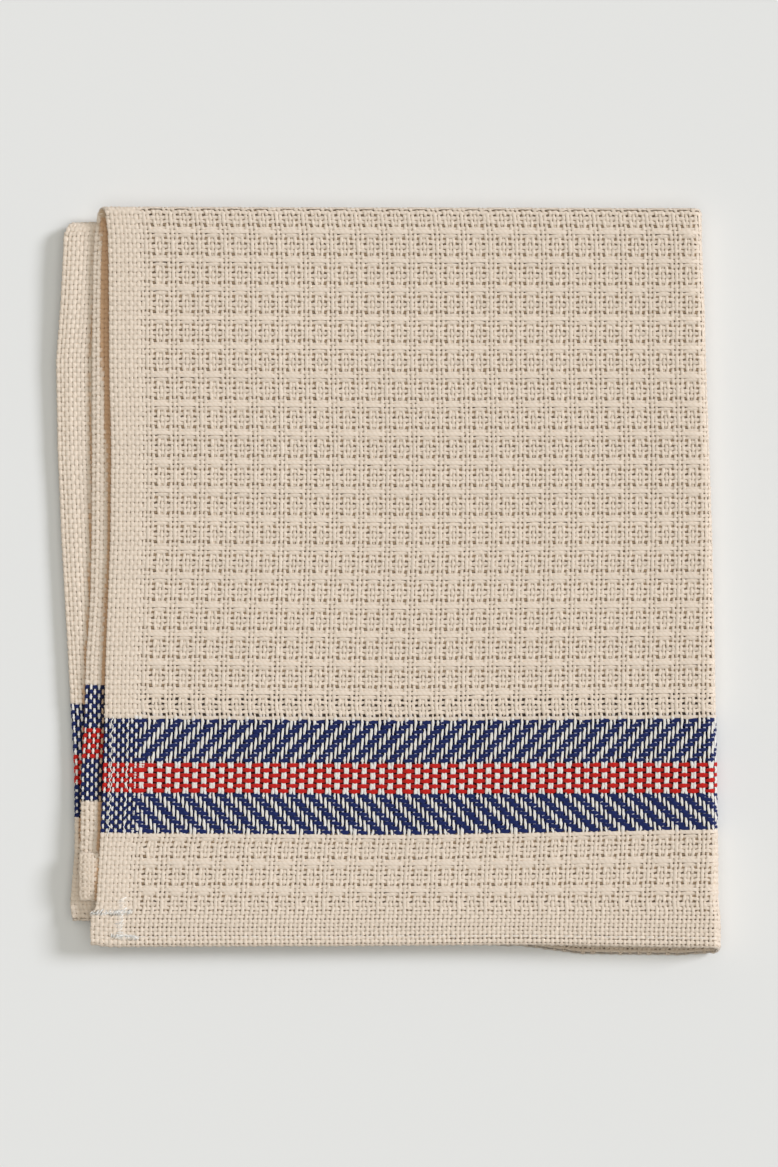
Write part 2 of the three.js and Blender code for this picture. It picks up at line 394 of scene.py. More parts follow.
def unit(vectors):
    return vectors / np.maximum(np.linalg.norm(vectors, axis=-1, keepdims=True), 1e-6)


def outward(end, pick):
    """The way the outer face looks."""
    reach = 0.3
    return unit(place(end, pick, reach) - place(end, pick, -reach))


corner = place(0, 0, 0)
print("corner at the lower left in mm:", corner.round(2))

# %% [markdown]
# ## The weave
#
# A draft says which thread is on top where a warp end crosses a weft pick. The waffle is a point draft on
# four shafts: six ends and six picks make one cell. Long floats of warp stand along one side of a cell and
# long floats of weft along the other, and its middle is woven tight and sinks. The hems and borders are
# plain weave. The navy stripes are a two and two twill, and the red stripe is plain weave over pairs of ends.

# %% The draft
SHAFTS = (1, 2, 3, 4, 3, 2)
LIFTS = {"A": (1,), "B": (2,), "C": (1, 3), "D": (1, 2, 4)}
UP_FROM_BAND = "BCDCBA"
UP_TO_BAND = "ABCDCB"


def zone_of(pick):
    """Which weave a pick is in."""
    weaves = [weave for start, weave, _ in ZONE_STARTS if pick >= start]
    return weaves[-1] if weaves else PLAIN


def row_letter(pick):
    """The waffle's row: its letter, and how many rows it is past the last row A."""
    if pick < LOWER_NAVY_START:
        letters = UP_TO_BAND
        place_in_cell = (LOWER_NAVY_START - 1 - pick) % CELL
        past_line = (-place_in_cell) % CELL
    else:
        letters = UP_FROM_BAND
        place_in_cell = (pick - WAFFLE_START) % CELL
        past_line = (place_in_cell + 1) % CELL
    return letters[place_in_cell], past_line


FIRST_PICK = -FRONT_TURNED_PICKS
ALL_PICKS = np.arange(FIRST_PICK, PICKS + BACK_TURNED_PICKS)
ALL_ENDS = np.arange(ENDS)
ZONES = np.array([zone_of(pick) for pick in ALL_PICKS])
IS_BORDER = (ALL_ENDS < BORDER_ENDS) | (ALL_ENDS >= ENDS - BORDER_ENDS)


def make_draft():
    """One row for each end and one column for each pick: true where the warp is on the outer face."""
    end_number, pick_number = np.meshgrid(ALL_ENDS, ALL_PICKS, indexing="ij")
    warp_up = (end_number + pick_number) % 2 == 0
    middle = ~IS_BORDER
    for column, pick in enumerate(ALL_PICKS):
        ends = ALL_ENDS[middle]
        if ZONES[column] == WAFFLE:
            lifted = LIFTS[row_letter(pick)[0]]
            shafts = np.array(SHAFTS)[(ends - FIRST_LINE_END) % CELL]
            warp_up[middle, column] = np.isin(shafts, lifted)
        elif ZONES[column] == NAVY_UP:
            warp_up[middle, column] = (ends - pick + 2) % 4 < 2
        elif ZONES[column] == NAVY_DOWN:
            warp_up[middle, column] = (ends + pick + 3) % 4 < 2
        elif ZONES[column] == RED:
            warp_up[middle, column] = ((ends - BORDER_ENDS) // 2 + pick) % 2 == 1
    return warp_up


WARP_UP = make_draft()
print("crossings:", WARP_UP.size, "share with the warp on top:", round(float(WARP_UP.mean()), 3))

# %% [markdown]
# ### How the threads shift and rise
#
# Threads don't keep their even places. A long float gathers the threads that it passes over, so in a waffle
# cell the ends close up towards its middle above and below, and the picks at its left and right. Gaps open
# round the middle of each cell, and these gaps are the small dark holes of the cloth. The lines of the grid
# stand up and the middle of the cell sinks. In the red stripe the ends close up in pairs.

# %% Shifts and relief
SIDE_END_GATHER = {"A": 0.06, "B": 0.06, "C": -0.14, "D": -0.13}
INNER_END_GATHER = {"A": 0.5, "B": 0.6, "C": -0.1, "D": 0.42}
B_PICK_GATHER = (-0.04, 0.15, 0.34, 0.4, 0.34, 0.15)
C_PICK_GATHER = (0.34, 0.08, -0.26, -0.04, -0.26, 0.08)
PAIR_SHIFT = 0.25
LINE_RISE = 0.02
MIDDLE_SINK = 0.08
TWILL_SLANT = 0.12
WEFT_SLANT = 0.13


def smoothed(values, axis):
    """A little of each neighbour, so that a thread doesn't jump where a zone ends."""
    before = np.roll(values, 1, axis)
    after = np.roll(values, -1, axis)
    return 0.25 * before + 0.5 * values + 0.25 * after


def by_side(place_in_cell, low, high):
    """One on the low side of a cell's middle and minus one on the high side."""
    return (place_in_cell == low) * 1 - (place_in_cell == high) * 1


def gathered_ends(end_place, pick_place):
    """How far each end moves towards the middle of its cell, by the row that it crosses."""
    letters = [UP_TO_BAND[number] for number in pick_place]
    side = np.array([SIDE_END_GATHER[letter] for letter in letters])[None, :]
    inner = np.array([INNER_END_GATHER[letter] for letter in letters])[None, :]
    across = end_place[:, None]
    return side * by_side(across, 1, 5) + inner * by_side(across, 2, 4)


def gathered_picks(end_place, pick_place):
    """Rows B move towards the line of floats, and rows C towards row D where the warp floats over them."""
    by_line = np.array(B_PICK_GATHER)[end_place][:, None]
    by_middle = np.array(C_PICK_GATHER)[end_place][:, None]
    down = pick_place[None, :]
    return by_line * by_side(down, 5, 1) + by_middle * by_side(down, 2, 4)


def make_shifts():
    """How far ends and picks leave their even places, in threads, and the relief of the cells in mm."""
    is_middle = ~IS_BORDER[:, None]
    in_waffle = ((ZONES == WAFFLE)[None, :] & is_middle).astype(float)
    in_red = ((ZONES == RED)[None, :] & is_middle).astype(float)
    end_place = (ALL_ENDS - FIRST_LINE_END) % CELL
    pick_place = np.array([row_letter(pick)[1] for pick in ALL_PICKS])
    pair_side = np.where((ALL_ENDS - BORDER_ENDS) % 2 == 0, PAIR_SHIFT, -PAIR_SHIFT)
    end_shift = gathered_ends(end_place, pick_place) * in_waffle + pair_side[:, None] * in_red
    pick_shift = gathered_picks(end_place, pick_place) * in_waffle
    end_wave = np.cos(2 * math.pi * end_place / CELL)[:, None]
    pick_wave = np.cos(2 * math.pi * pick_place / CELL)[None, :]
    height = np.maximum(end_wave, pick_wave)
    relief = np.where(height > 0, LINE_RISE * height, MIDDLE_SINK * height) * in_waffle
    return smoothed(end_shift, 1), smoothed(pick_shift, 0), relief


END_SHIFT, PICK_SHIFT, RELIEF = make_shifts()
print("relief in mm:", round(float(RELIEF.min()), 2), "to", round(float(RELIEF.max()), 2))

# %% [markdown]
# ## The ground sheet
#
# Between the threads one looks into the cloth, at shaded cotton. A thin closed sheet stands for that: it
# lies just under the threads wherever they are made, and it is as thick as the cloth where they aren't, deep
# inside the folds. It is a grid of places put through the rule, with an outer side, an inner side and a rim.

# %% Ground sheet form
FULL_HALF = 0.55
UNDER_THREADS = -0.4
STRIP_ENDS = 9
STRIP_FADE = 1.5
HEM_INNER = -0.8
HEM_FADE = 1.2
BACK_FADE = 2.5
BACK_INNER_FADE = 1.8
BACK_INNER_LATER = 0.6
BARE_INNER = -0.2


def sheet_depths(end, pick):
    """The outer and inner depth of the ground sheet, for each place."""
    on_back = soft_step(pick, TOP_FOLD_END, BACK_FADE)
    before_back = soft_step(pick, TOP_FOLD_START + BACK_INNER_LATER, BACK_INNER_FADE)
    left_strip = 1 - soft_step(end, STRIP_ENDS - STRIP_FADE, STRIP_FADE)
    right_strip = soft_step(end, ENDS - STRIP_ENDS, STRIP_FADE)
    outer = mix(UNDER_THREADS, FULL_HALF, on_back * (1 - right_strip))
    inner = mix(-FULL_HALF, 0.0, before_back * left_strip)
    past_hem = soft_step(pick, HEM_PICKS - HEM_FADE / 2, HEM_FADE)
    before_hem = 1 - soft_step(pick, BACK_HEM_START - HEM_FADE / 2, HEM_FADE)
    return outer, mix(inner, HEM_INNER, 1 - past_hem * before_hem)


def lines(stops):
    """Evenly spaced lines between stops, each with its number of steps."""
    found = []
    for (start, steps), (stop, _) in zip(stops[:-1], stops[1:]):
        found += list(np.linspace(start, stop, steps, endpoint=False))
    return np.array(found + [stops[-1][0]])


def add_attribute(mesh, name, values):
    """Numbers or vectors kept on the points of a mesh."""
    kind, field = ("FLOAT_VECTOR", "vector") if values.ndim == 2 else ("FLOAT", "value")
    layer = mesh.attributes.new(name, kind, "POINT")
    layer.data.foreach_set(field, np.ascontiguousarray(values, np.float32).ravel())


def corner_points(mesh):
    """The number of the point at each corner of each face."""
    found = np.empty(len(mesh.loops), np.int32)
    mesh.loops.foreach_get("vertex_index", found)
    return found


def keep_map(mesh, flat):
    layer = mesh.uv_layers.new(name="OFBake")
    layer.data.foreach_set("uv", np.ascontiguousarray(flat, np.float32).ravel())


def grid_mesh(name, end_lines, pick_lines, depths):
    """A closed sheet: two sides of a grid and the rim between them. The outer side takes the left half of
    its map and the inner side the right half."""
    end_grid, pick_grid = np.meshgrid(end_lines, pick_lines, indexing="ij")
    outer, inner = depths(end_grid, pick_grid)
    across, down = end_grid.shape
    below = across * down
    points = [place(end_grid, pick_grid, depth).reshape(-1, 3) for depth in (outer, inner)]
    number = np.arange(below).reshape(across, down)
    quads = [number[:-1, :-1], number[1:, :-1], number[1:, 1:], number[:-1, 1:]]
    upper = np.stack(quads, -1).reshape(-1, 4)
    ring = np.concatenate([number[:, 0], number[-1, 1:], number[-2::-1, -1], number[0, -2:0:-1]])
    after = np.roll(ring, -1)
    rim = np.stack([ring, ring + below, after + below, after], -1)
    faces = np.concatenate([upper, upper[:, ::-1] + below, rim])
    mesh = bpy.data.meshes.new(name)
    mesh.from_pydata((np.concatenate(points) * MM).tolist(), [], faces.tolist())
    flat_u = np.tile(end_grid.ravel(), 2)
    flat_v = np.tile(pick_grid.ravel(), 2)
    bare = np.concatenate([(outer > 0).ravel(), (inner < BARE_INNER).ravel()]).astype(float)
    for label, values in (("end", flat_u), ("pick", flat_v), ("bare", bare)):
        add_attribute(mesh, label, values)
    corners = corner_points(mesh)
    is_inner = (corners.reshape(-1, 4) >= below).all(axis=1).repeat(4)
    flat = np.stack([flat_u[corners] / ENDS / 2 + 0.5 * is_inner, flat_v[corners] / PICKS], 1)
    keep_map(mesh, flat.clip(0, 1))
    mesh.shade_smooth()
    return mesh


END_LINES = lines([(0.1, 5), (3, 4), (12, 24), (126, 40), (152, 22), (264, 12), (ENDS - 0.1, 0)])
PICK_LINES = lines([(0, 4), (2, 4), (HEM_PICKS, 6), (24, 12), (50, 34), (150, 28), (164, 36), (288, 8),
                    (294, 4), (299, 3), (PICKS, 0)])
ground_mesh = grid_mesh("ground_sheet", END_LINES, PICK_LINES, sheet_depths)
ground = add_object("ground_sheet", ground_mesh)
print("ground sheet triangles:", 2 * len(ground_mesh.polygons))

# %% [markdown]
# ## Cotton yarn as a finish
#
# Spun yarn is a bundle of fibres with a twist, so its surface has slanting grooves and a soft, dull, slightly
# uneven colour. One node group makes that for every dye. It reads how far along its yarn a point is and where
# it is round it, so the twist follows the yarn wherever it goes. Even values stay on the shader itself. The
# finishes paint shade into the colour: in the twist grooves, where a yarn dives, and under the upper rims.


# %% Helpers for shader nodes
def set_inputs(tree, node, inputs):
    """Each input takes a value, a colour or another node's output."""
    for name, value in inputs.items():
        socket = node.inputs[name]
        if isinstance(value, bpy.types.NodeSocket):
            tree.links.new(value, socket)
        elif socket.type == "RGBA":
            socket.default_value = (*value, 1)
        else:
            socket.default_value = value


def add_node(tree, kind, inputs=None, **settings):
    node = tree.nodes.new(kind)
    for name, value in settings.items():
        setattr(node, name, value)
    set_inputs(tree, node, inputs or {})
    return node


def math_node(tree, operation, *values):
    return add_node(tree, "ShaderNodeMath", dict(enumerate(values)), operation=operation).outputs[0]


def attribute(tree, name):
    return add_node(tree, "ShaderNodeAttribute", attribute_name=name).outputs["Fac"]


def mix_colours(tree, share, first, second, blend="MIX"):
    inputs = {0: share, 6: first, 7: second}
    return add_node(tree, "ShaderNodeMix", inputs, data_type="RGBA", blend_type=blend).outputs[2]


def bump(tree, height, strength, distance):
    inputs = {"Strength": strength, "Distance": distance * MM, "Height": height}
    return add_node(tree, "ShaderNodeBump", inputs).outputs["Normal"]


def new_shader(name):
    """An empty finish: the material, its tree and its shader."""
    material = bpy.data.materials.new(name)
    material.use_nodes = True
    return material, material.node_tree, material.node_tree.nodes["Principled BSDF"]


# %% The spun cotton group
TWIST_LENGTH = 1.3
STRANDS = 2.0
GROOVE_SHARPNESS = 2.0
GROOVE_HEIGHT = -0.6
FIBRE_SCALE = 2600
FIBRE_DETAIL = 3


def make_spun_cotton():
    group = bpy.data.node_groups.new("spun cotton", "ShaderNodeTree")
    length = group.interface.new_socket("Twist length in mm", in_out="INPUT", socket_type="NodeSocketFloat")
    length.default_value = TWIST_LENGTH
    for name in ("Groove", "Fibre", "Height"):
        group.interface.new_socket(name, in_out="OUTPUT", socket_type="NodeSocketFloat")
    entry = group.nodes.new("NodeGroupInput")
    round_yarn = math_node(group, "ARCTAN2", attribute(group, "side"), attribute(group, "crown"))
    turns = math_node(group, "DIVIDE", attribute(group, "run"), entry.outputs[0])
    twist = math_node(group, "MULTIPLY", round_yarn, STRANDS)
    phase = math_node(group, "MULTIPLY_ADD", turns, 2 * math.pi, twist)
    wave = math_node(group, "MULTIPLY_ADD", math_node(group, "SINE", phase), 0.5, 0.5)
    groove = math_node(group, "POWER", wave, GROOVE_SHARPNESS)
    spots = {"Vector": add_node(group, "ShaderNodeTexCoord").outputs["Object"], "Scale": FIBRE_SCALE,
             "Detail": FIBRE_DETAIL}
    fibre = add_node(group, "ShaderNodeTexNoise", spots).outputs["Fac"]
    height = math_node(group, "ADD", math_node(group, "MULTIPLY", groove, GROOVE_HEIGHT), fibre)
    add_node(group, "NodeGroupOutput", {"Groove": groove, "Fibre": fibre, "Height": height})
    return group


SPUN_COTTON = make_spun_cotton()
# A warm dark tint: painted shadow under the rims of the layers above.
PAINTED_SHADOW_TINT = (0.78, 0.58, 0.42)
GROOVE_SHADE_SHARE = 0.35
FLECK_DARKEST = 0.92
FLECK_RANGE = 0.16
YARN_BUMP = {"strength": 0.35, "distance": 0.05}
COTTON = {"Roughness": 0.92, "Specular IOR Level": 0.2, "Sheen Weight": 0.12, "Sheen Roughness": 0.5}


def yarn_material(name, crown, groove, deep, band_white=None, band_shade=None):
    """A yarn's colour on its crown, with painted shade in its twist grooves, where it dives and under the rims
    of the layers above. In the band a whiter, cooler crown and a bluish painted shade replace them.
    """
    material, tree, shader = new_shader(name)
    spun = add_node(tree, "ShaderNodeGroup", node_tree=SPUN_COTTON)
    # In the band: a whiter, cooler crown, its cool cast a painted reflection of the navy, and a bluish painted
    # shade.
    if band_white is not None:
        crown = mix_colours(tree, attribute(tree, "in_band"), crown, band_white)
        deep = mix_colours(tree, attribute(tree, "in_band"), deep, band_shade)
    # Painted shade in the twist grooves.
    groove_share = math_node(tree, "MULTIPLY", spun.outputs["Groove"], GROOVE_SHADE_SHARE)
    colour = mix_colours(tree, groove_share, crown, groove)
    # Painted shade where the yarn dives under others.
    colour = mix_colours(tree, attribute(tree, "hidden_painted_shade"), colour, deep)
    # Painted shadow under the rims of the layers above, multiplied into the colour.
    colour = mix_colours(tree, attribute(tree, "painted_shadow"), colour, PAINTED_SHADOW_TINT, "MULTIPLY")
    fleck = math_node(tree, "MULTIPLY_ADD", spun.outputs["Fibre"], FLECK_RANGE, FLECK_DARKEST)
    tone = math_node(tree, "MULTIPLY", attribute(tree, "tone"), fleck)
    shade = add_node(tree, "ShaderNodeCombineColor", {0: tone, 1: tone, 2: tone}).outputs[0]
    colour = mix_colours(tree, 1.0, colour, shade, "MULTIPLY")
    normal = bump(tree, spun.outputs["Height"], **YARN_BUMP)
    set_inputs(tree, shader, {**COTTON, "Base Color": colour, "Normal": normal})
    return material


ECRU = (0.80, 0.69, 0.58)
# The groove colours below are painted shade in the twist grooves of a yarn.
ECRU_GROOVE_SHADE = (0.64, 0.52, 0.40)
# The dive colours below are painted shade, for where a yarn dives under others.
ECRU_PAINTED_SHADE = (0.60, 0.48, 0.36)
# Inside the band the ecru warp is drawn whiter and cooler, its cool cast a painted reflection of the navy
# round it. Its dive colour is a bluish painted shade.
BAND_WARP_WHITE = (0.80, 0.785, 0.75)
BAND_WARP_PAINTED_SHADE = (0.42, 0.43, 0.60)
NAVY = (0.011, 0.021, 0.108)
NAVY_GROOVE_SHADE = (0.006, 0.010, 0.05)
NAVY_PAINTED_SHADE = (0.004, 0.005, 0.018)
BRIGHT_RED = (0.57, 0.015, 0.010)
RED_GROOVE_SHADE = (0.30, 0.006, 0.006)
RED_PAINTED_SHADE = (0.09, 0.004, 0.004)
ecru_yarn = yarn_material("ecru_yarn", ECRU, ECRU_GROOVE_SHADE, ECRU_PAINTED_SHADE, BAND_WARP_WHITE, BAND_WARP_PAINTED_SHADE)
navy_yarn = yarn_material("navy_yarn", NAVY, NAVY_GROOVE_SHADE, NAVY_PAINTED_SHADE)
red_yarn = yarn_material("red_yarn", BRIGHT_RED, RED_GROOVE_SHADE, RED_PAINTED_SHADE)
print("yarn finishes:", ecru_yarn.name, navy_yarn.name, red_yarn.name)

# %% [markdown]
# ## The finish of the ground sheet
#
# The ground is painted shade: between ecru threads the depth of the cloth looks brown, between navy threads
# nearly black and between red ones dark red. A colour ramp along the picks gives these zones, so the ground
# follows the stripes through every fold. Where the sheet is bare, deep in the folds, it takes the lighter
# colour of the cloth and a plain weave, with painted shade between its threads.

# %% Ground sheet finish
DYES = {PLAIN: "ecru", WAFFLE: "ecru", NAVY_UP: "navy", NAVY_DOWN: "navy", RED: "red"}
# Painted shade: the dark inside of the cloth seen between the threads, for each dye.
GROUND_PAINTED_SHADE = {"ecru": (0.60, 0.45, 0.31), "navy": (0.006, 0.008, 0.022), "red": (0.06, 0.004, 0.004)}
BARE_GROUND = {"ecru": (0.70, 0.59, 0.47), "navy": NAVY, "red": BRIGHT_RED}
# Painted shade in the gaps between the threads of the bare sheet.
BARE_GAP_PAINTED_SHADE = (0.45, 0.32, 0.2)
# A darker painted shade in the first cell above the band, where the navy shows through.
FIRST_CELL_PAINTED_SHADE = (0.10, 0.075, 0.06)
WEAVE_BUMP = {"strength": 0.6, "distance": 0.2}
DEEP_COTTON = {"Roughness": 0.95, "Specular IOR Level": 0.1}


def zone_ramp(tree, colours, first_cell):
    """A colour for each zone of the picks, and one for the shaded first cell above the band."""
    stops = [(0, colours["ecru"])] + [(start, colours[DYES[weave]]) for start, weave, _ in ZONE_STARTS]
    stops = [(start, first_cell if start == WAFFLE_START else colour) for start, colour in stops]
    stops.append((WAFFLE_START + CELL, colours["ecru"]))
    share = math_node(tree, "DIVIDE", attribute(tree, "pick"), float(PICKS))
    node = add_node(tree, "ShaderNodeValToRGB", {"Fac": share})
    ramp = node.color_ramp
    ramp.interpolation = "CONSTANT"
    ramp.elements.remove(ramp.elements[1])
    ramp.elements[0].position = 0
    ramp.elements[0].color = (*stops[0][1], 1)
    for start, colour in stops[1:]:
        ramp.elements.new(start / PICKS).color = (*colour, 1)
    return node.outputs["Color"]


def thread_wave(tree, count):
    """One crown for each thread counted."""
    angle = math_node(tree, "MULTIPLY", attribute(tree, count), math.pi)
    return math_node(tree, "ABSOLUTE", math_node(tree, "SINE", angle))


def ground_material():
    material, tree, shader = new_shader("ground_cotton_painted_shade")
    # Painted shade seen between the threads.
    deep = zone_ramp(tree, GROUND_PAINTED_SHADE, FIRST_CELL_PAINTED_SHADE)
    bare = zone_ramp(tree, BARE_GROUND, BARE_GROUND["ecru"])
    thread = math_node(tree, "MAXIMUM", thread_wave(tree, "end"), thread_wave(tree, "pick"))
    # Painted shade between the threads where the sheet is bare.
    woven = mix_colours(tree, thread, BARE_GAP_PAINTED_SHADE, bare)
    colour = mix_colours(tree, attribute(tree, "bare"), deep, woven)
    normal = bump(tree, thread, **WEAVE_BUMP)
    set_inputs(tree, shader, {**DEEP_COTTON, "Base Color": colour, "Normal": normal})
    return material


ground_mesh.materials.append(ground_material())

# %% [markdown]
# ## Yarn by Geometry Nodes
#
# Every yarn is the same thing: a slightly flattened tube along a path. So one node tree makes them all. It
# turns the path into a curve, sweeps a small ring of points along it, and then presses the tube flat towards
# the cloth, which needs the way the cloth looks at each point of the path. The paths carry that with them,
# and the yarn's own thickness too.


# %% The yarn tree
def named(tree, name, kind="FLOAT"):
    node = add_node(tree, "GeometryNodeInputNamedAttribute", {"Name": name}, data_type=kind)
    return node.outputs["Attribute"]


def vector_math(tree, operation, first, second):
    inputs = {0: first, "Scale" if operation == "SCALE" else 1: second}
    node = add_node(tree, "ShaderNodeVectorMath", inputs, operation=operation)
    return node.outputs["Value" if operation == "DOT_PRODUCT" else "Vector"]


def shape_node(tree, kind, geometry, inputs=None, **settings):
    """A node that passes a shape on, changed."""
    return add_node(tree, kind, {"Geometry": geometry, **(inputs or {})}, **settings).outputs["Geometry"]


def store(tree, geometry, name, value):
    kind = "GeometryNodeStoreNamedAttribute"
    return shape_node(tree, kind, geometry, {"Name": name, "Value": value}, data_type="FLOAT", domain="POINT")


def make_yarn_tree():
    tree = bpy.data.node_groups.new("yarn along a path", "GeometryNodeTree")
    kinds = {"Geometry": "Geometry", "Width": "Float", "Flatness": "Float", "Sides": "Int", "Turn": "Float",
             "Reach": "Float", "Yarn": "Material"}
    sockets = {}
    for name, kind in kinds.items():
        sockets[name] = tree.interface.new_socket(name, in_out="INPUT", socket_type="NodeSocket" + kind)
    tree.interface.new_socket("Geometry", in_out="OUTPUT", socket_type="NodeSocketGeometry")
    entry = tree.nodes.new("NodeGroupInput").outputs

    # A ring of points, swept along the path with the yarn's own thickness.
    curve = add_node(tree, "GeometryNodeMeshToCurve", {"Mesh": entry["Geometry"]}).outputs["Curve"]
    circle = {"Resolution": entry["Sides"], "Radius": entry["Reach"]}
    ring = add_node(tree, "GeometryNodeCurvePrimitiveCircle", circle).outputs["Curve"]
    turn = add_node(tree, "ShaderNodeCombineXYZ", {"Z": entry["Turn"]}).outputs["Vector"]
    ring = shape_node(tree, "GeometryNodeTransform", ring, {"Rotation": turn})
    half_width = math_node(tree, "MULTIPLY", entry["Width"], 0.5)
    radius = math_node(tree, "MULTIPLY", named(tree, "girth"), half_width)
    sweep = {"Curve": curve, "Profile Curve": ring, "Scale": radius, "Fill Caps": True}
    tube = add_node(tree, "GeometryNodeCurveToMesh", sweep).outputs["Mesh"]

    # Its place round the yarn is kept, and the tube is pressed flat towards the cloth.
    position = add_node(tree, "GeometryNodeInputPosition").outputs["Position"]
    lift = named(tree, "lift", "FLOAT_VECTOR")
    from_middle = vector_math(tree, "SUBTRACT", position, named(tree, "centre", "FLOAT_VECTOR"))
    height = vector_math(tree, "DOT_PRODUCT", from_middle, lift)
    aside = vector_math(tree, "DOT_PRODUCT", from_middle, named(tree, "aside", "FLOAT_VECTOR"))
    shape = store(tree, tube, "crown", math_node(tree, "DIVIDE", height, radius))
    shape = store(tree, shape, "side", math_node(tree, "DIVIDE", aside, radius))
    pressed = math_node(tree, "MULTIPLY", height, math_node(tree, "SUBTRACT", entry["Flatness"], 1.0))
    move = vector_math(tree, "SCALE", lift, pressed)
    shape = shape_node(tree, "GeometryNodeSetPosition", shape, {"Offset": move})
    shape = shape_node(tree, "GeometryNodeSetShadeSmooth", shape)
    shape = shape_node(tree, "GeometryNodeRealizeInstances", shape)
    shape = shape_node(tree, "GeometryNodeSetMaterial", shape, {"Material": entry["Yarn"]})
    add_node(tree, "NodeGroupOutput", {"Geometry": shape})
    return tree, {name: socket.identifier for name, socket in sockets.items()}


YARN_TREE, YARN_INPUTS = make_yarn_tree()
print("yarn tree nodes:", len(YARN_TREE.nodes))

# %% [markdown]
# ### From path to piece
#
# The paths are counted in threads. The rule folds them, and also gives the way the cloth looks and the way
# across the yarn. Everything is written on the points of a mesh that has only edges. After the tree has run,
# the result is kept as a plain mesh, and each yarn gets a place of its own on the flat map of the cloth.

# %% Paths and pieces
MAP_MARGIN = 12.0
MAP_SIDE = 0.45
MAP_SIZE = np.array([ENDS, PICKS]) + 2 * MAP_MARGIN
AT_BOTTOM = 0.95
SMALL_STEP = 0.05
SOFTENING = 0.5
FLATNESS = 0.6
SIDES = 4
UNDER_SIDES = 3
DYED_SIDES = 6
# Painted shadow: a strip of second under the rim of the face, and of third under the rim of second, is tinted
# dark and warm. The table gives how far in from each rim it reaches.
PAINTED_SHADOW_EDGE = 0.4
PAINTED_SHADOW_FADE = 1.5
LOWEST_PAINTED_SHADOW = -87.0
PAINTED_SHADOW_DOWN = table(("y", "under_face", "under_second"), [
    (99.2, -0.6, 0.0),
    (98.4, 1.0, 0.2),
    (96.8, 2.1, 0.3),
    (75, 2.8, 0.5),
    (37, 1.7, 0.8),
    (11, 1.2, 0.8),
    (-16, 1.5, 0.8),
    (-70, 1.2, 0.6),
    (-74, 0.7, -1.0),
])


def painted_shadow_under_rims(end, pick, points):
    """Painted shadow: how far second is darkened under the rim of the face, and third under the rim of second.
    """
    x, y = points[:, 0], points[:, 1]
    edges = read(EDGES_DOWN, y)
    reaches = read(PAINTED_SHADOW_DOWN, y)
    on_back = soft_step(pick, TOP_FOLD_END, PAINTED_SHADOW_FADE) * soft_step(y, LOWEST_PAINTED_SHADOW, PAINTED_SHADOW_FADE)
    from_face = x - edges["face"] + reaches["under_face"]
    from_second = x - edges["second"] + reaches["under_second"]
    return soft_step(np.where(end < ENDS / 2, from_face, from_second), 0, PAINTED_SHADOW_EDGE) * on_back


def path_mesh(name, yarns, is_warp):
    """A mesh of edges along the yarns, with what the tree needs on its points."""
    joined = {key: np.concatenate([yarn[key] for yarn in yarns]) for key in yarns[0]}
    end, pick = joined.pop("end"), joined.pop("pick")
    points = place(end, pick, joined.pop("depth"))
    to_end, to_pick = (SMALL_STEP, 0) if is_warp else (0, SMALL_STEP)
    aside = place(end + to_end, pick + to_pick, 0) - place(end - to_end, pick - to_pick, 0)
    lane = 0 if is_warp else 1
    flat_at, flat_aside = np.zeros((2, len(end), 3))
    flat_at[:, :2] = (np.stack([end, pick], 1) + MAP_MARGIN) / MAP_SIZE
    flat_aside[:, lane] = MAP_SIDE / MAP_SIZE[lane]
    steps = np.linalg.norm(np.diff(points, axis=0), axis=1)
    values = {"centre": points * MM, "lift": outward(end, pick), "aside": unit(aside), "flat_at": flat_at,
              "flat_aside": flat_aside, "run": np.append(0, np.cumsum(steps)),
              "painted_shadow": painted_shadow_under_rims(end, pick, points), **joined}
    number = np.arange(len(end))
    last = np.cumsum([len(yarn["end"]) for yarn in yarns]) - 1
    edges = np.delete(np.stack([number[:-1], number[1:]], 1), last[:-1], axis=0)
    mesh = bpy.data.meshes.new(name + "_paths")
    mesh.from_pydata((points * MM).tolist(), edges.tolist(), [])
    for label, numbers in values.items():
        add_attribute(mesh, label, numbers)
    return mesh


def read_attribute(mesh, name):
    layer = mesh.attributes[name]
    is_vector = layer.data_type == "FLOAT_VECTOR"
    values = np.empty(len(mesh.vertices) * (3 if is_vector else 1), np.float32)
    layer.data.foreach_get("vector" if is_vector else "value", values)
    return values.reshape(-1, 3) if is_vector else values


def lay_map(mesh):
    """Each yarn's own place on the flat map: round the yarn goes across its thread's lane."""
    corners = corner_points(mesh)
    starts = np.empty(len(mesh.polygons), np.int32)
    mesh.polygons.foreach_get("loop_start", starts)
    share = (np.arctan2(read_attribute(mesh, "side"), read_attribute(mesh, "crown")) / math.pi)[corners]
    sizes = np.diff(np.append(starts, len(share)))
    at_bottom = np.abs(share) > AT_BOTTOM
    crosses = np.maximum.reduceat(share, starts) - np.minimum.reduceat(share, starts) > 1
    is_left = np.add.reduceat(np.where(at_bottom, 0, share), starts) < 0
    edge = np.repeat(np.where(is_left, -1.0, 1.0), sizes)
    share = np.where(np.repeat(crosses, sizes) & at_bottom, edge, share)
    flat_at, flat_aside = (read_attribute(mesh, name)[corners, :2] for name in ("flat_at", "flat_aside"))
    keep_map(mesh, flat_at + flat_aside * share[:, None])


def soften(mesh):
    """Fuzzy yarn shades less than a smooth tube: its normals lean towards the way the cloth looks."""
    found = np.empty(len(mesh.vertices) * 3, np.float32)
    mesh.vertex_normals.foreach_get("vector", found)
    towards = read_attribute(mesh, "lift") * np.sign(read_attribute(mesh, "crown"))[:, None]
    softened = unit(found.reshape(-1, 3) * (1 - SOFTENING) + towards * SOFTENING)
    mesh.normals_split_custom_set_from_vertices(softened.tolist())


pieces = []


